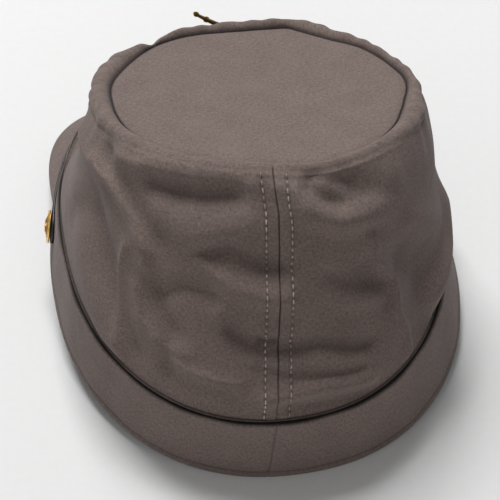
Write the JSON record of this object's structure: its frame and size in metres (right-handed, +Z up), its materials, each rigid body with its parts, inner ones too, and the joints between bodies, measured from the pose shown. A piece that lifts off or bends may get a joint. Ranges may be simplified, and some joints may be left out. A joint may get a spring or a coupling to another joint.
{
  "type": "kepi cap",
  "caption": "Soft cloth kepi with a forward-sloping flat top, plain band, squared cloth peak, leather chin strap on side buttons and a small crossed-sabres badge.",
  "frame": {"origin": "middle of the cap's footprint, on the surface that it stands on", "axes": "+Z up, -Y the way the peak points, +X the wearer's left"},
  "size_m": [0.1724, 0.2306, 0.1231],
  "materials": {
    "band_cloth": "matt grey-brown woven cloth",
    "crown_side_cloth": "matt grey-brown woven cloth, creased",
    "crown_tip_cloth": "matt grey-brown woven cloth, flat",
    "peak_cloth": "matt grey-brown woven cloth over a stiff shade",
    "strap_leather": "smooth black leather",
    "button_left_brass": "stamped brass",
    "button_right_brass": "stamped brass",
    "badge_brass": "dark antique cast brass"
  },
  "bodies": {
    "root": {"band": "band_cloth", "crown_side": "crown_side_cloth", "crown_tip": "crown_tip_cloth", "peak": "peak_cloth", "chin_strap": "strap_leather", "button_left": "button_left_brass", "button_right": "button_right_brass", "crossed_sabres": "badge_brass"}
  },
  "joints": []
}
